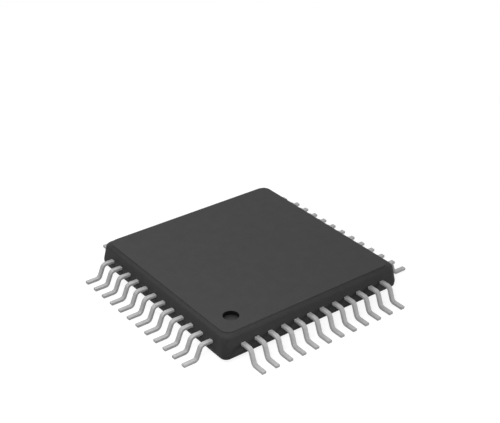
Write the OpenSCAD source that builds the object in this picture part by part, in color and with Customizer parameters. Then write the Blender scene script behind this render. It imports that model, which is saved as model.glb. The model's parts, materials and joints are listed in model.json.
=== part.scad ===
// Thin quad flat pack, 48 gull-wing leads at 0.5 mm pitch on a nominal 7 mm body.
// The origin is the centre of the seating plane, +Z is up, and pin 1 is the lead
// nearest the index dot on the -Y side. Leads count anticlockwise seen from above.

/* [Moulded body] */
// Width of the body at its widest line
body_w = 6.89; // [6.85:0.01:7.05]
// Gap between the seating plane and the underside of the body
standoff = 0.12; // [0.05:0.01:0.15]
// Height of the moulding from underside to top face
body_h = 0.815; // [0.8:0.005:0.95]
// Height of the widest line above the underside
widest_h = 0.18; // [0.08:0.01:0.25]
// How far the underside edge is set in from the widest line
bottom_inset = 0.015; // [0.01:0.005:0.06]
// Draft of the side walls from vertical, in degrees
wall_draft = 7.5; // [5:0.5:10]
// Radius of the rounded edge round the top face
top_edge_r = 0.2; // [0.1:0.01:0.22]
// Radius of the vertical corners at the widest line
corner_r = 0.29; // [0.28:0.01:0.5]

/* [Index dot] */
// Distance from the body's centre planes to the centre of the dot
dot_pos = 2.565; // [2.3:0.005:2.7]
// Radius of the dot
dot_r = 0.25; // [0.15:0.005:0.3]
// Depth of the dot
dot_depth = 0.15; // [0.05:0.01:0.16]

/* [Leads outside the body] */
// Number of leads on each side
leads_per_side = 12; // [8:1:12]
// Pitch of the leads
lead_pitch = 0.5; // [0.46:0.01:0.5]
// Span over the toes of opposite leads
toe_span = 8.87; // [8.8:0.01:9.2]
// Width of a lead
lead_w = 0.155; // [0.14:0.005:0.2]
// Thickness of a lead
lead_t = 0.09; // [0.08:0.01:0.1]
// Height of the top of the shoulder above the underside of the body
shoulder_h = 0.42; // [0.38:0.001:0.44]
// Distance from the body's widest line to where the shoulder would meet the shin
shoulder_len = 0.34; // [0.32:0.005:0.37]
// Lean of the shin from vertical, in degrees
shin_lean = 22; // [10:1:25]
// Inside radius of both bends
bend_r = 0.1; // [0.06:0.01:0.1]

/* [Leadframe inside the body] */
// Length of the straight stretch of a finger inside the body
finger_straight = 0.25; // [0.22:0.01:0.28]
// Width of a finger at its tip
finger_tip_w = 0.1; // [0.08:0.01:0.12]
// Pitch of the finger tips
finger_tip_pitch = 0.31; // [0.28:0.01:0.32]
// Width of the square die paddle
paddle_w = 3.8; // [3.5:0.05:4]
// Gap between the paddle and the finger tips
paddle_gap = 0.3; // [0.2:0.01:0.35]
// How far the paddle is set down below the fingers
downset = 0.15; // [0.1:0.01:0.18]
// Width of a tie bar
tie_w = 0.12; // [0.08:0.01:0.14]
// Length of the moulding that covers the end of a tie bar
tie_cover = 0.12; // [0.08:0.01:0.2]

/* [Die and wires] */
// Width of the square die
die_w = 3; // [2.6:0.1:3.2]
// Thickness of the die
die_t = 0.18; // [0.15:0.01:0.2]
// Thickness of the adhesive under the die
attach_t = 0.02; // [0.02:0.005:0.03]
// How far the adhesive shows past each edge of the die
attach_margin = 0.1; // [0.05:0.01:0.15]
// Pitch of the bond pads along the die's edge
pad_pitch = 0.21; // [0.18:0.01:0.22]
// Distance from the die's edge to the pads
pad_inset = 0.09; // [0.08:0.01:0.12]
// Diameter of a bond wire
wire_d = 0.025; // [0.02:0.001:0.03]
// Diameter of the ball on a pad
ball_d = 0.07; // [0.06:0.005:0.08]
// Thickness of the ball
ball_t = 0.025; // [0.022:0.001:0.03]
// Rise of the wire's loop above a straight line between its ends
loop_rise = 0.15; // [0.1:0.01:0.16]
// Distance from a finger's tip to where the wire is stitched to it
stitch_in = 0.1; // [0.08:0.01:0.12]
// Diameter of the stitch
stitch_d = 0.06; // [0.05:0.005:0.07]

/* [Hidden] */
$fn = 32;
lead_count = 4 * leads_per_side;
body_top = standoff + body_h;
widest_z = standoff + widest_h;
edge_z = body_top - top_edge_r;
wall_top_z = edge_z + top_edge_r * sin(wall_draft);
wall_inset = (wall_top_z - widest_z) * tan(wall_draft);
edge_inset = wall_inset + top_edge_r * cos(wall_draft);
half_w = body_w / 2;
lead_top = standoff + shoulder_h;
finger_z = lead_top - lead_t;
shoulder_u = half_w + shoulder_len;
heel_u = shoulder_u + finger_z * tan(shin_lean);
toe_u = toe_span / 2;
bend_cut = (bend_r + lead_t / 2) * tan((90 - shin_lean) / 2);
bend_steps = 6;
knee_u = half_w - finger_straight;
tip_u = paddle_w / 2 + paddle_gap;
paddle_z = finger_z - downset;
attach_z = paddle_z + lead_t;
die_z = attach_z + attach_t;
die_top = die_z + die_t;
pad_u = die_w / 2 - pad_inset;

function lead_name(i) = str("lead_", i < 10 ? "0" : "", i);
// Which side a lead is on, counted anticlockwise from the -Y side.
function side_of(i) = floor((i - 1) / leads_per_side);
// Place of a lead in its row, in pitches from the middle of the side.
function place_in_row(i) = (i - 1) % leads_per_side - (leads_per_side - 1) / 2;

// Puts a shape drawn with u outward along +X and the row along +Y onto a side.
module on_side(side) {
    rotate([0, 0, 90 * side - 90]) children();
}

// Section of the moulding outward from a line that is reach inside its widest line.
module rim_section(reach) {
    polygon([
        [0, standoff],
        [reach - bottom_inset, standoff],
        [reach, widest_z],
        [reach - wall_inset, wall_top_z],
        [reach - edge_inset, edge_z],
        [reach - edge_inset, body_top],
        [0, body_top]
    ]);
    translate([reach - edge_inset, edge_z]) intersection() {
        circle(top_edge_r);
        square(top_edge_r);
    }
}

// The moulding before anything is set in it: one section carried round a
// rounded square, as the cavity of its mould is.
module moulding() {
    flat = body_w - 2 * corner_r;
    translate([-flat / 2, -flat / 2, standoff]) cube([flat, flat, body_h]);
    for (a = [0:90:270]) rotate([0, 0, a]) translate([flat / 2, flat / 2, 0]) {
        rotate([90, 0, 0]) linear_extrude(flat) rim_section(corner_r);
        rotate_extrude(angle = 90) rim_section(corner_r);
    }
}

module index_dot() {
    translate([-dot_pos, -dot_pos, body_top - dot_depth])
        cylinder(r = dot_r, h = 2 * dot_depth);
}

module body() {
    color("#4a4a4a") difference() {
        moulding();
        index_dot();
        for (i = [1:lead_count]) lead_blank(i);
        paddle_shape();
        attach_shape();
        die_shape();
        for (i = [1:lead_count]) wire_shape(i);
    }
}

// Points along an arc, from one angle to another.
function arc(centre, r, from, to) = [
    for (k = [0:bend_steps]) let (a = from + (to - from) * k / bend_steps)
        centre + r * [cos(a), sin(a)]
];

// A lead seen from above, before it is formed: a straight strip that tapers and
// turns towards its place beside the paddle.
module lead_outline(place) {
    root_v = place * lead_pitch;
    tip_v = place * finger_tip_pitch;
    polygon([
        [toe_u, root_v - lead_w / 2],
        [toe_u, root_v + lead_w / 2],
        [knee_u, root_v + lead_w / 2],
        [tip_u, tip_v + finger_tip_w / 2],
        [tip_u, tip_v - finger_tip_w / 2],
        [knee_u, root_v - lead_w / 2]
    ]);
}

// The flat lead as it lies in the frame when the body is moulded round it.
module lead_blank(i) {
    on_side(side_of(i)) translate([0, 0, finger_z])
        linear_extrude(lead_t) lead_outline(place_in_row(i));
}

// The gull wing seen from the side, open past the finger's tip and the toe.
module gull_wing() {
    shoulder_bend = [shoulder_u - bend_cut, finger_z - bend_r];
    heel_bend = [heel_u + bend_cut, lead_t + bend_r];
    past_toe = toe_u + lead_t;
    polygon(concat(
        [[0, lead_top]],
        arc(shoulder_bend, bend_r + lead_t, 90, shin_lean),
        arc(heel_bend, bend_r, 180 + shin_lean, 270),
        [[past_toe, lead_t], [past_toe, 0]],
        arc(heel_bend, bend_r + lead_t, 270, 180 + shin_lean),
        arc(shoulder_bend, bend_r, shin_lean, 90),
        [[0, finger_z]]
    ));
}

// A lead as it is made: its outline is cut from strip, then formed to the wing.
module lead_shape(i) {
    on_side(side_of(i)) intersection() {
        rotate([90, 0, 0]) linear_extrude(body_w, center = true) gull_wing();
        linear_extrude(3 * lead_top, center = true) lead_outline(place_in_row(i));
    }
}

module lead(i) {
    color("#b9b9b9") lead_shape(i);
}

// The paddle and its four tie bars, which ramp up to the level of the fingers.
module paddle_shape() {
    ramp_start = paddle_w / sqrt(2) + lead_t;
    ramp_end = ramp_start + downset;
    corner_reach = (half_w - corner_r) * sqrt(2) + corner_r - wall_inset;
    tie_end = corner_reach - tie_cover;
    translate([-paddle_w / 2, -paddle_w / 2, paddle_z]) cube([paddle_w, paddle_w, lead_t]);
    for (a = [45:90:315]) rotate([0, 0, a]) translate([0, tie_w / 2, 0])
        rotate([90, 0, 0]) linear_extrude(tie_w) polygon([
            [paddle_w / 2, paddle_z],
            [ramp_start, paddle_z],
            [ramp_end, finger_z],
            [tie_end, finger_z],
            [tie_end, lead_top],
            [ramp_end, lead_top],
            [ramp_start, attach_z],
            [paddle_w / 2, attach_z]
        ]);
}

module die_paddle() {
    color("#b87333") paddle_shape();
}

module attach_shape() {
    attach_w = die_w + 2 * attach_margin;
    translate([-attach_w / 2, -attach_w / 2, attach_z]) cube([attach_w, attach_w, attach_t]);
}

module die_attach() {
    color("#d0d0c8") attach_shape();
}

module die_shape() {
    translate([-die_w / 2, -die_w / 2, die_z]) cube([die_w, die_w, die_t]);
}

module die() {
    color("#3c4654") die_shape();
}

// One bonded wire in the plane of X and Z: a ball on the pad, a loop, and a
// stitch on the finger. The loop's ends are buried in the ball and the stitch.
module wire_loop(reach) {
    fall = die_top - lead_top;
    chord = norm([reach, fall]);
    loop_r = (chord * chord / 4 + loop_rise * loop_rise) / (2 * loop_rise);
    half_angle = asin(chord / 2 / loop_r);
    translate([0, 0, die_top]) cylinder(d = ball_d, h = ball_t);
    translate([reach, 0, lead_top]) cylinder(d = stitch_d, h = ball_t);
    translate([0, 0, die_top + ball_t / 2]) rotate([0, atan2(fall, reach), 0])
        translate([chord / 2, 0, loop_rise - loop_r]) rotate([90, 0, 0])
            rotate([0, 0, 90 - half_angle]) rotate_extrude(angle = 2 * half_angle)
                translate([loop_r, 0]) circle(d = wire_d);
}

// The wire of one lead, from its pad on the die to its finger.
module wire_shape(i) {
    place = place_in_row(i);
    tip_v = place * finger_tip_pitch;
    turn = place * (lead_pitch - finger_tip_pitch) / (knee_u - tip_u);
    pad = [pad_u, place * pad_pitch];
    way = [tip_u + stitch_in, tip_v + stitch_in * turn] - pad;
    on_side(side_of(i)) translate(pad) rotate([0, 0, atan2(way[1], way[0])])
        wire_loop(norm(way));
}

module bond_wires() {
    color("#d4af37") for (i = [1:lead_count]) wire_shape(i);
}

body();
for (i = [1:lead_count]) lead(i);
die_paddle();
die_attach();
die();
bond_wires();
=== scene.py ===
import json
import math

import bmesh
import bpy
import numpy as np
from mathutils import Matrix, Vector

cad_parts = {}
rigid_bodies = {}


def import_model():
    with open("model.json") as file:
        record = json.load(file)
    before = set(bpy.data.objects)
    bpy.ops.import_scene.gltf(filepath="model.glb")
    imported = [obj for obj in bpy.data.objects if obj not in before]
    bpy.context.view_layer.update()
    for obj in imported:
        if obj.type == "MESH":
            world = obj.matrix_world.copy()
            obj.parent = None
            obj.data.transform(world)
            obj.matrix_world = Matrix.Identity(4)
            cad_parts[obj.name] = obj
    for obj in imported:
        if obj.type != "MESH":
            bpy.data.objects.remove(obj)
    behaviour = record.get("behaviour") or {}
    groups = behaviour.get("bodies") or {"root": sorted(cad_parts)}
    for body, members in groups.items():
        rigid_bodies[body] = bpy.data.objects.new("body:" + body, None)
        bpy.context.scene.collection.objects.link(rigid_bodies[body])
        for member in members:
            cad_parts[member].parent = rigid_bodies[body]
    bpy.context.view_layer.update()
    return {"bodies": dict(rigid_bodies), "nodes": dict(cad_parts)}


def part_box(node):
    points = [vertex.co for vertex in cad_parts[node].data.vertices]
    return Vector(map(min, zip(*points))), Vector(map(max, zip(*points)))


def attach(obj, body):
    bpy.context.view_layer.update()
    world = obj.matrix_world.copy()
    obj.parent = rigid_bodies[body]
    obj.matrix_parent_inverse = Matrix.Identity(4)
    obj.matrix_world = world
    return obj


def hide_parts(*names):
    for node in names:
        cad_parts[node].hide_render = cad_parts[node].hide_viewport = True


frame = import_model()
root = next(iter(frame["bodies"]))
mm = 0.001


# ---- Moulded body -------------------------------------------------------------
# The black block is epoxy filled with silica, moulded round the leadframe in a
# two-part cavity: drafted side walls, a bevel with a fine step round the top face
# and rounded corners. A polished pin in the cavity leaves the round index dot,
# whose side wall is painted near black as painted shade inside the recess.
body_low, body_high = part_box("body")
half_width = body_high.x
underside_z = body_low.z
top_z = body_high.z
widest_height = 0.18 * mm
underside_inset = 0.015 * mm
wall_draft = math.radians(7.5)
bevel_inset = 0.19 * mm
bevel_lean = math.radians(52)
bevel_rounding = 0.1 * mm
top_step = 0.025 * mm
step_rounding = 0.01 * mm
lower_rounding = 0.05 * mm
wall_corner_radius = 0.2 * mm
top_corner_radius = 0.3 * mm
dot_place = -2.565 * mm
dot_radius = 0.25 * mm
dot_depth = 0.15 * mm
dot_rim = 0.008 * mm


def arc_points(centre, radius, start, end, steps):
    """Points on an arc in a plane, both ends included."""
    angles = np.linspace(start, end, steps + 1)
    return [(centre[0] + radius * math.cos(a), centre[1] + radius * math.sin(a)) for a in angles]


def rounded_corner(before, corner, after, radius, steps):
    """The points that round off one corner of an outline."""
    before, corner, after = (np.array(p) for p in (before, corner, after))
    to_before = (before - corner) / np.linalg.norm(before - corner)
    to_after = (after - corner) / np.linalg.norm(after - corner)
    half = math.acos(np.clip(to_before @ to_after, -1, 1)) / 2
    middle = (to_before + to_after) / np.linalg.norm(to_before + to_after)
    centre = corner + middle * radius / math.sin(half)
    first = corner + to_before * radius / math.tan(half) - centre
    last = corner + to_after * radius / math.tan(half) - centre
    turn = math.atan2(first[0] * last[1] - first[1] * last[0], first @ last)
    start = math.atan2(first[1], first[0])
    return arc_points(centre, radius, start, start + turn, steps)


def loft(name, rings):
    """A mesh skinned over closed rings with the same number of points each, and closed at both ends."""
    count = len(rings[0])
    points = [tuple(p) for ring in rings for p in ring]
    faces = [
        (k * count + i, k * count + (i + 1) % count, (k + 1) * count + (i + 1) % count, (k + 1) * count + i)
        for k in range(len(rings) - 1)
        for i in range(count)
    ]
    faces.append(tuple(reversed(range(count))))
    faces.append(tuple(range((len(rings) - 1) * count, len(rings) * count)))
    mesh = bpy.data.meshes.new(name)
    mesh.from_pydata(points, [], faces)
    mesh.update()
    piece = bpy.data.objects.new(name, mesh)
    bpy.context.scene.collection.objects.link(piece)
    return piece


def apply_modifiers(piece):
    """Leaves the piece as the mesh that its modifiers make."""
    evaluated = piece.evaluated_get(bpy.context.evaluated_depsgraph_get())
    mesh = bpy.data.meshes.new_from_object(evaluated)
    piece.modifiers.clear()
    old = piece.data
    piece.data = mesh
    bpy.data.meshes.remove(old)


def cut_away(piece, cutter):
    """Takes the cutter's shape out of the piece and deletes the cutter."""
    bpy.context.view_layer.update()
    cut = piece.modifiers.new("cut", "BOOLEAN")
    cut.operation = "DIFFERENCE"
    cut.solver = "EXACT"
    cut.material_mode = "TRANSFER"
    cut.object = cutter
    apply_modifiers(piece)
    bpy.data.objects.remove(cutter)


def shade_soft(piece, crease=35):
    """Smooth shading that keeps edges sharper than the crease, and flat faces flat."""
    piece.data.shade_smooth()
    piece.data.set_sharp_from_angle(angle=math.radians(crease))
    weighted = piece.modifiers.new("weighted", "WEIGHTED_NORMAL")
    weighted.keep_sharp = True
    weighted.weight = 100
    apply_modifiers(piece)


def body_section():
    """The moulding's section from underside to top face, as (inset from the widest line, height) pairs."""
    widest_z = underside_z + widest_height
    rise = 1 / math.tan(bevel_lean)
    lean = math.tan(wall_draft)
    bevel_low_z = (top_z - bevel_inset * rise - widest_z * lean * rise) / (1 - lean * rise)
    centre = (half_width, underside_z)
    foot = (underside_inset, underside_z)
    widest = (0, widest_z)
    bevel_low = ((bevel_low_z - widest_z) * lean, bevel_low_z)
    bevel_high = (bevel_inset, top_z - top_step)
    step_top = (bevel_inset, top_z)
    return (
        rounded_corner(centre, foot, widest, lower_rounding, 6)
        + rounded_corner(foot, widest, bevel_low, lower_rounding, 3)
        + rounded_corner(widest, bevel_low, bevel_high, bevel_rounding, 8)
        + rounded_corner(bevel_low, bevel_high, step_top, step_rounding, 3)
        + rounded_corner(bevel_high, step_top, (half_width, top_z), step_rounding, 3)
    )


def corner_radius_at(inset):
    """Radius of the moulding's corners seen from above, which opens out over the bevel."""
    over_bevel = (inset - underside_inset) / (bevel_inset - underside_inset)
    return wall_corner_radius + (top_corner_radius - wall_corner_radius) * max(0.0, over_bevel)


def rounded_square(half, radius, z, steps=12):
    """A ring of points at one height: a square with rounded corners."""
    centre = half - radius
    ring = []
    for quarter in range(4):
        for step in range(steps + 1):
            angle = (quarter + step / steps) * math.pi / 2
            side_x = 1 if quarter in (0, 3) else -1
            side_y = 1 if quarter in (0, 1) else -1
            x = side_x * centre + radius * math.cos(angle)
            y = side_y * centre + radius * math.sin(angle)
            ring.append((x, y, z))
    return ring


def circle_ring(x, y, radius, z, steps=64):
    """A ring of points round an upright axis."""
    return [
        (x + radius * math.cos(a), y + radius * math.sin(a), z)
        for a in np.linspace(0, 2 * math.pi, steps, endpoint=False)
    ]


def group_socket(group, name, direction, kind="NodeSocketFloat", default=None):
    """Adds one named input or output to a node group."""
    socket = group.interface.new_socket(name, in_out=direction, socket_type=kind)
    if default is not None:
        socket.default_value = default


def make_grain_group():
    """Grain in the material's own metres: fine grit, broad mottling and a mask of sparse flecks."""
    group = bpy.data.node_groups.new("grain", "ShaderNodeTree")
    group_socket(group, "Grit Size", "INPUT", default=0.03 * mm)
    group_socket(group, "Mottle Size", "INPUT", default=0.5 * mm)
    group_socket(group, "Grit", "OUTPUT")
    group_socket(group, "Mottle", "OUTPUT")
    group_socket(group, "Flecks", "OUTPUT")
    nodes, links = group.nodes, group.links
    inputs = nodes.new("NodeGroupInput")
    outputs = nodes.new("NodeGroupOutput")
    place = nodes.new("ShaderNodeTexCoord")
    layers = (("Grit Size", "Grit", 3, 0.6), ("Mottle Size", "Mottle", 4, 0.5))
    for size_name, out_name, detail, rough in layers:
        per_metre = nodes.new("ShaderNodeMath")
        per_metre.operation = "DIVIDE"
        per_metre.inputs[0].default_value = 1
        links.new(inputs.outputs[size_name], per_metre.inputs[1])
        noise = nodes.new("ShaderNodeTexNoise")
        noise.inputs["Detail"].default_value = detail
        noise.inputs["Roughness"].default_value = rough
        links.new(place.outputs["Object"], noise.inputs["Vector"])
        links.new(per_metre.outputs[0], noise.inputs["Scale"])
        links.new(noise.outputs["Fac"], outputs.inputs[out_name])
        if out_name == "Grit":
            cells = nodes.new("ShaderNodeTexVoronoi")
            links.new(place.outputs["Object"], cells.inputs["Vector"])
            links.new(per_metre.outputs[0], cells.inputs["Scale"])
            fleck = nodes.new("ShaderNodeMapRange")
            fleck.inputs["From Min"].default_value = 0.28
            fleck.inputs["From Max"].default_value = 0.12
            links.new(cells.outputs["Distance"], fleck.inputs["Value"])
            links.new(fleck.outputs["Result"], outputs.inputs["Flecks"])
    return group


def new_material(name, roughness, metallic=0.0, specular=0.5):
    """A material with one Principled BSDF, and that shader's node."""
    material = bpy.data.materials.new(name)
    material.use_nodes = True
    shader = material.node_tree.nodes["Principled BSDF"]
    shader.inputs["Roughness"].default_value = roughness
    shader.inputs["Metallic"].default_value = metallic
    shader.inputs["Specular IOR Level"].default_value = specular
    return material, shader


def colour_between(tree, mask, dark, light, low=0.35, high=0.65):
    """A colour that runs from dark to light as the mask runs from low to high."""
    ramp = tree.nodes.new("ShaderNodeValToRGB")
    ramp.color_ramp.elements[0].position = low
    ramp.color_ramp.elements[0].color = (*dark, 1)
    ramp.color_ramp.elements[1].position = high
    ramp.color_ramp.elements[1].color = (*light, 1)
    tree.links.new(mask, ramp.inputs["Fac"])
    return ramp.outputs["Color"]


def value_between(tree, mask, low, high):
    """A number that runs from low to high as the mask runs from 0.3 to 0.7."""
    spread = tree.nodes.new("ShaderNodeMapRange")
    spread.inputs["From Min"].default_value = 0.3
    spread.inputs["From Max"].default_value = 0.7
    spread.inputs["To Min"].default_value = low
    spread.inputs["To Max"].default_value = high
    tree.links.new(mask, spread.inputs["Value"])
    return spread.outputs["Result"]


def mixed_masks(tree, first, second, share):
    """A mask made of two others, with that share of the second."""
    mix = tree.nodes.new("ShaderNodeMix")
    mix.inputs["Factor"].default_value = share
    tree.links.new(first, mix.inputs["A"])
    tree.links.new(second, mix.inputs["B"])
    return mix.outputs["Result"]


def bump(tree, shader, height, depth):
    """Relief of the given depth, in metres, on the shader's normal."""
    relief = tree.nodes.new("ShaderNodeBump")
    relief.inputs["Distance"].default_value = depth
    relief.inputs["Strength"].default_value = 1
    tree.links.new(height, relief.inputs["Height"])
    tree.links.new(relief.outputs["Normal"], shader.inputs["Normal"])


grain_group = make_grain_group()


def add_grain(tree, grit_size, mottle_size):
    """Places the grain group in a material."""
    grain = tree.nodes.new("ShaderNodeGroup")
    grain.node_tree = grain_group
    grain.inputs["Grit Size"].default_value = grit_size
    grain.inputs["Mottle Size"].default_value = mottle_size
    return grain


moulding_dark = (0.0345, 0.0345, 0.0350)
moulding_light = (0.0520, 0.0520, 0.0520)
moulding_grit = 0.03 * mm
moulding_mottle = 0.45 * mm

moulding_material, shader = new_material("filled_epoxy", roughness=0.55, specular=0.1)
tree = moulding_material.node_tree
grain = add_grain(tree, moulding_grit, moulding_mottle)
speckle = mixed_masks(tree, grain.outputs["Mottle"], grain.outputs["Grit"], 0.8)
tree.links.new(colour_between(tree, speckle, moulding_dark, moulding_light), shader.inputs["Base Color"])
tree.links.new(value_between(tree, grain.outputs["Grit"], 0.56, 0.68), shader.inputs["Roughness"])
bump(tree, shader, grain.outputs["Grit"], 0.0012 * mm)

# Painted shade: the dot's side wall is the same epoxy, given a near-black colour that stands in for the shade
# inside the recess.
dot_shade_material, shader = new_material("dot_painted_shade", roughness=0.9, specular=0.05)
tree = dot_shade_material.node_tree
grain = add_grain(tree, moulding_grit, moulding_mottle)
tree.links.new(
    colour_between(tree, grain.outputs["Grit"], (0.006, 0.006, 0.006), (0.010, 0.010, 0.010)),
    shader.inputs["Base Color"])

moulding = loft("moulded_body", [
    rounded_square(half_width - inset, corner_radius_at(inset), z) for inset, z in body_section()])
moulding.data.materials.append(moulding_material)

dot_floor_z = top_z - dot_depth
dot_cutter = loft("dot_cutter", [
    circle_ring(dot_place, dot_place, dot_radius, dot_floor_z),
    circle_ring(dot_place, dot_place, dot_radius, top_z - dot_rim),
    circle_ring(dot_place, dot_place, dot_radius + dot_rim, top_z),
    circle_ring(dot_place, dot_place, dot_radius + 2 * dot_rim, top_z + dot_rim),
])
dot_cutter.data.materials.append(moulding_material)
# The dot's side wall takes the painted shade material; its floor keeps the epoxy.
dot_cutter.data.materials.append(dot_shade_material)
for face in dot_cutter.data.polygons:
    face.material_index = 0 if abs(face.normal.z) > 0.5 else 1
cut_away(moulding, dot_cutter)


# ---- Leads --------------------------------------------------------------------
# Forty-eight copper alloy strips plated with matte tin, stamped from one leadframe and
# trimmed and formed into gull wings after moulding. Their long edges are rolled
# over by the punch and the plating. Inside the body each one is a tapered finger
# that leans towards the die.
lead_names = sorted(name for name in frame["nodes"] if name.startswith("lead_"))
leads_per_side = len(lead_names) // 4
lead_pitch = (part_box(f"lead_{leads_per_side:02d}")[1].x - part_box(f"lead_{leads_per_side // 2 + 1:02d}")[1].x)
lead_pitch /= leads_per_side // 2 - 1
lead_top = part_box(lead_names[0])[1].z
toe_reach = -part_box(lead_names[0])[0].y
lead_thick = 0.09 * mm
lead_width = 0.155 * mm
lead_edge = 0.018 * mm
toe_edge = 0.015 * mm
sharpest_edge = 0.006 * mm
shoulder_reach = half_width + 0.34 * mm
shin_lean = math.radians(22)
bend_inside = 0.1 * mm
straight_inside = 0.25 * mm
finger_tip_width = 0.1 * mm
finger_tip_pitch = 0.31 * mm
finger_tip_reach = -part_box(lead_names[0])[1].y


def side_turn(side):
    """Turns a shape drawn with its lead running out along +X onto one of the four sides."""
    return Matrix.Rotation(math.radians(90 * side - 90), 4, "Z")


def wing_path():
    """The middle line of a lead from finger tip to toe, as (reach, height) pairs, and its slope at each."""
    middle = bend_inside + lead_thick / 2
    finger_z = lead_top - lead_thick
    turn = math.pi / 2 - shin_lean
    cut = middle * math.tan(turn / 2)
    heel_reach = shoulder_reach + finger_z * math.tan(shin_lean)
    path = [(finger_tip_reach, 0.0), (half_width - straight_inside, 0.0)]
    path += [(half_width - straight_inside / 2, 0.0)]
    steps = 10
    for k in range(steps + 1):
        a = turn * k / steps
        path.append((shoulder_reach - cut + middle * math.sin(a), a))
    for k in range(steps + 1):
        a = turn * (1 - k / steps)
        path.append((heel_reach + cut - middle * math.sin(a), a))
    path.append((toe_reach - toe_edge, 0.0))
    line = []
    for n, (reach, slope) in enumerate(path):
        if n <= 2:
            z = lead_top - lead_thick / 2
        elif n <= steps + 3:
            z = lead_top - lead_thick / 2 - middle * (1 - math.cos(slope))
        else:
            z = lead_thick / 2 + middle * (1 - math.cos(slope))
        line.append((reach, z, slope))
    return line


def lead_section(width, thick, edge, steps=4):
    """A rounded rectangle across the lead, as (across, up) pairs."""
    across, up = width / 2 - edge, thick / 2 - edge
    ring = []
    for quarter, (sx, sy) in enumerate(((1, 1), (-1, 1), (-1, -1), (1, -1))):
        start = quarter * math.pi / 2
        ring += arc_points((sx * across, sy * up), edge, start, start + math.pi / 2, steps)
    return ring


def lead_rings(place, grow=0.0, edge=lead_edge, steps=4):
    """The rings of one lead. A positive grow makes it thicker all round, for cutting its pocket."""
    knee_reach = half_width - straight_inside
    rings = []
    for reach, z, slope in wing_path():
        inward = max(0.0, min(1.0, (knee_reach - reach) / (knee_reach - finger_tip_reach)))
        width = lead_width + (finger_tip_width - lead_width) * inward
        offset = place * (lead_pitch + (finger_tip_pitch - lead_pitch) * inward)
        ring = []
        for across, up in lead_section(width + 2 * grow, lead_thick + 2 * grow, edge, steps):
            ring.append((reach + up * math.sin(slope), offset - across, z + up * math.cos(slope)))
        rings.append(ring)
    return rings


def lead_toe_rings(place):
    """The last rings, which draw in round the edge of the cut toe."""
    rings = []
    steps = 4
    for k in range(1, steps + 1):
        a = math.pi / 2 * k / steps
        inset = toe_edge * (1 - math.cos(a))
        edge = max(lead_edge - inset, sharpest_edge)
        section = lead_section(lead_width - 2 * inset, lead_thick - 2 * inset, edge)
        reach = toe_reach - toe_edge + toe_edge * math.sin(a)
        rings.append([(reach, place * lead_pitch - across, lead_thick / 2 + up) for across, up in section])
    return rings


def place_in_row(number):
    """Place of a lead on its side, in pitches from the middle."""
    return (number - 1) % leads_per_side - (leads_per_side - 1) / 2


tin_dark = (0.455, 0.455, 0.46)
tin_light = (0.49, 0.49, 0.49)

tin_material, shader = new_material("matte_tin", roughness=0.6, metallic=0.15, specular=0.3)
tree = tin_material.node_tree
grain = add_grain(tree, 0.012 * mm, 0.12 * mm)
tree.links.new(
    colour_between(tree, grain.outputs["Mottle"], tin_dark, tin_light), shader.inputs["Base Color"])
tree.links.new(value_between(tree, grain.outputs["Grit"], 0.56, 0.64), shader.inputs["Roughness"])
bump(tree, shader, grain.outputs["Grit"], 0.0004 * mm)

pocket_clearance = 0.002 * mm
pockets = []
for number, node in enumerate(lead_names, start=1):
    turn = side_turn((number - 1) // leads_per_side)
    place = place_in_row(number)
    lead = loft(f"tinned_{node}", lead_rings(place) + lead_toe_rings(place))
    lead.data.transform(turn)
    lead.data.materials.append(tin_material)
    shade_soft(lead, crease=50)
    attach(lead, root)
    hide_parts(node)
    pocket = loft(f"pocket_{number:02d}", lead_rings(place, grow=pocket_clearance, edge=0.01 * mm, steps=1))
    pocket.data.transform(turn)
    pockets.append(pocket)

pocket_mesh = bmesh.new()
for pocket in pockets:
    pocket_mesh.from_mesh(pocket.data)
    bpy.data.objects.remove(pocket)
bmesh.ops.recalc_face_normals(pocket_mesh, faces=pocket_mesh.faces)
pocket_data = bpy.data.meshes.new("pockets")
pocket_mesh.to_mesh(pocket_data)
pocket_mesh.free()
pocket_data.materials.append(moulding_material)
all_pockets = bpy.data.objects.new("pockets", pocket_data)
bpy.context.scene.collection.objects.link(all_pockets)
cut_away(moulding, all_pockets)
shade_soft(moulding)
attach(moulding, root)
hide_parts("body")


# ---- Die paddle ---------------------------------------------------------------
# The square pad of the leadframe that carries the die, with a tie bar to each
# corner. It is bare rolled copper alloy, stamped with the leads and hidden inside.
def finish_node(node, material):
    """Gives a CAD node its material."""
    for material_slot in frame["nodes"][node].material_slots:
        material_slot.material = material


copper_material, shader = new_material("rolled_copper", roughness=0.4, metallic=1.0)
tree = copper_material.node_tree
grain = add_grain(tree, 0.02 * mm, 0.4 * mm)
tree.links.new(
    colour_between(tree, grain.outputs["Mottle"], (0.66, 0.40, 0.26), (0.76, 0.49, 0.33)),
    shader.inputs["Base Color"])
tree.links.new(value_between(tree, grain.outputs["Grit"], 0.34, 0.46), shader.inputs["Roughness"])
bump(tree, shader, grain.outputs["Grit"], 0.0006 * mm)
finish_node("die_paddle", copper_material)


# ---- Die attach ---------------------------------------------------------------
# The thin film of epoxy filled with silver flakes that holds the die to the
# paddle. It was spread wet and cured, and a narrow rim of it shows round the die.
adhesive_material, shader = new_material("silver_epoxy", roughness=0.45, metallic=0.3)
tree = adhesive_material.node_tree
grain = add_grain(tree, 0.015 * mm, 0.2 * mm)
tree.links.new(
    colour_between(tree, grain.outputs["Flecks"], (0.52, 0.52, 0.50), (0.74, 0.74, 0.72), low=0, high=1),
    shader.inputs["Base Color"])
tree.links.new(value_between(tree, grain.outputs["Mottle"], 0.38, 0.55), shader.inputs["Roughness"])
bump(tree, shader, grain.outputs["Mottle"], 0.002 * mm)
finish_node("die_attach", adhesive_material)


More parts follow.
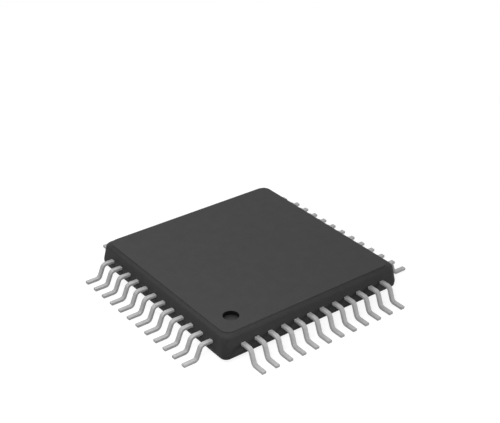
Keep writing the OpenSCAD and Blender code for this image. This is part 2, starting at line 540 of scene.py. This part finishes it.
# ---- Die ----------------------------------------------------------------------
# The square of silicon sawn from a polished wafer, dark grey with a faint shift
# of colour over its circuits.
silicon_material, shader = new_material("silicon", roughness=0.2, metallic=0.4)
tree = silicon_material.node_tree
grain = add_grain(tree, 0.02 * mm, 0.35 * mm)
tree.links.new(
    colour_between(tree, grain.outputs["Mottle"], (0.15, 0.17, 0.21), (0.24, 0.25, 0.27)),
    shader.inputs["Base Color"])
tree.links.new(value_between(tree, grain.outputs["Grit"], 0.16, 0.26), shader.inputs["Roughness"])
finish_node("die", silicon_material)


# ---- Bond wires ---------------------------------------------------------------
# Forty-eight drawn gold wires, each melted to a ball on its pad, looped over and
# stitched to the tip of its finger.
gold_material, shader = new_material("drawn_gold", roughness=0.25, metallic=1.0)
tree = gold_material.node_tree
grain = add_grain(tree, 0.006 * mm, 0.08 * mm)
tree.links.new(
    colour_between(tree, grain.outputs["Mottle"], (0.80, 0.58, 0.22), (0.88, 0.67, 0.30)),
    shader.inputs["Base Color"])
tree.links.new(value_between(tree, grain.outputs["Grit"], 0.2, 0.32), shader.inputs["Roughness"])
finish_node("bond_wires", gold_material)


# ---- Camera -------------------------------------------------------------------
# It looks down over the corner with the index dot, aimed a little above the part.
view_azimuth = math.radians(-37.548)
view_elevation = math.radians(29.256)
view_roll = math.radians(0.415)
view_distance = 36.390 * mm
aim_right = 0.0884 * mm
aim_up = 2.131 * mm
lens_mm = 79.912

back = Vector((
    math.sin(view_azimuth) * math.cos(view_elevation),
    -math.cos(view_azimuth) * math.cos(view_elevation),
    math.sin(view_elevation),
))
level = Vector((math.cos(view_azimuth), math.sin(view_azimuth), 0))
upward = back.cross(level)
right = level * math.cos(view_roll) + upward * math.sin(view_roll)
up = upward * math.cos(view_roll) - level * math.sin(view_roll)
camera = bpy.data.objects.new("camera", bpy.data.cameras.new("camera"))
bpy.context.scene.collection.objects.link(camera)
camera.data.sensor_width = 36
camera.data.lens = lens_mm
camera.data.clip_start = 1 * mm
camera.data.clip_end = 10
camera.matrix_world = Matrix.Translation(right * aim_right + up * aim_up + back * view_distance) @ Matrix(
    (right, up, back)).transposed().to_4x4()
bpy.context.scene.camera = camera


# ---- Floor, backdrop and light ------------------------------------------------
# A plain pale floor, a white surround, two large soft lamps far off behind and to
# the right, and two small ones close by on the left that shade the top face across.
def seen_directly(tree):
    """1 for rays from the camera and for mirror and glass rays, 0 for light between surfaces."""
    path = tree.nodes.new("ShaderNodeLightPath")
    either = None
    for name in ("Is Camera Ray", "Is Glossy Ray", "Is Transmission Ray"):
        if either is None:
            either = path.outputs[name]
            continue
        join = tree.nodes.new("ShaderNodeMath")
        join.operation = "MAXIMUM"
        tree.links.new(either, join.inputs[0])
        tree.links.new(path.outputs[name], join.inputs[1])
        either = join.outputs[0]
    return either


floor_size = 2.0
floor_grey = (0.3, 0.3, 0.3, 1)
floor_glow = 0.86
surround_colour = (1, 1, 1, 1)
surround_seen = 1.0
surround_light = 0.06
floor_mesh = bpy.data.meshes.new("floor")
floor_half = floor_size / 2
floor_corners = [(x * floor_half, y * floor_half, 0) for x, y in ((-1, -1), (1, -1), (1, 1), (-1, 1))]
floor_mesh.from_pydata(floor_corners, [], [(0, 1, 2, 3)])
floor = bpy.data.objects.new("floor", floor_mesh)
bpy.context.scene.collection.objects.link(floor)
floor_material = bpy.data.materials.new("floor")
floor_material.use_nodes = True
tree = floor_material.node_tree
tree.nodes.clear()
output = tree.nodes.new("ShaderNodeOutputMaterial")
plain = tree.nodes.new("ShaderNodeBsdfDiffuse")
plain.inputs["Color"].default_value = floor_grey
glow = tree.nodes.new("ShaderNodeEmission")
glow.inputs["Strength"].default_value = floor_glow
bright = tree.nodes.new("ShaderNodeAddShader")
tree.links.new(plain.outputs[0], bright.inputs[0])
tree.links.new(glow.outputs[0], bright.inputs[1])
choose = tree.nodes.new("ShaderNodeMixShader")
tree.links.new(seen_directly(tree), choose.inputs["Fac"])
tree.links.new(plain.outputs[0], choose.inputs[1])
tree.links.new(bright.outputs[0], choose.inputs[2])
tree.links.new(choose.outputs[0], output.inputs["Surface"])
floor_mesh.materials.append(floor_material)

world = bpy.data.worlds.new("surround")
world.use_nodes = True
bpy.context.scene.world = world
tree = world.node_tree
tree.nodes.clear()
output = tree.nodes.new("ShaderNodeOutputWorld")
dim = tree.nodes.new("ShaderNodeBackground")
dim.inputs["Color"].default_value = surround_colour
dim.inputs["Strength"].default_value = surround_light
white = tree.nodes.new("ShaderNodeBackground")
white.inputs["Color"].default_value = surround_colour
white.inputs["Strength"].default_value = surround_seen
choose = tree.nodes.new("ShaderNodeMixShader")
tree.links.new(seen_directly(tree), choose.inputs["Fac"])
tree.links.new(dim.outputs[0], choose.inputs[1])
tree.links.new(white.outputs[0], choose.inputs[2])
tree.links.new(choose.outputs[0], output.inputs["Surface"])


def add_softbox(name, place, aim, size, level_of_light):
    """A square lamp whose light on a facing surface at its aim equals that share of full white."""
    lamp = bpy.data.lights.new(name, "AREA")
    lamp.size = size
    distance = (Vector(place) - Vector(aim)).length
    lamp.energy = level_of_light * math.pi ** 2 * distance ** 2
    softbox = bpy.data.objects.new(name, lamp)
    bpy.context.scene.collection.objects.link(softbox)
    softbox.location = place
    softbox.visible_camera = False
    softbox.rotation_mode = "QUATERNION"
    softbox.rotation_quaternion = (Vector(place) - Vector(aim)).to_track_quat("Z", "Y")


def lamp_place(azimuth, elevation, distance):
    """Where a lamp stands, from its angle round from +X and its angle above the floor."""
    azimuth, elevation = math.radians(azimuth), math.radians(elevation)
    level = math.cos(elevation) * distance
    return (level * math.cos(azimuth), level * math.sin(azimuth), math.sin(elevation) * distance)


middle = (0, 0, 0)
far_off, far_size = 300 * mm, 110 * mm
close_by, close_size = 14 * mm, 8 * mm
add_softbox("back", lamp_place(52, 45, far_off), middle, 2 * far_size, 0.45)
add_softbox("right", lamp_place(320, 12, far_off), middle, far_size, 0.43)
add_softbox("left", lamp_place(150, 40, close_by), middle, close_size, 0.24)
add_softbox("front", lamp_place(220, 40, close_by), middle, close_size, 0.38)

bpy.context.scene.view_settings.view_transform = "Standard"
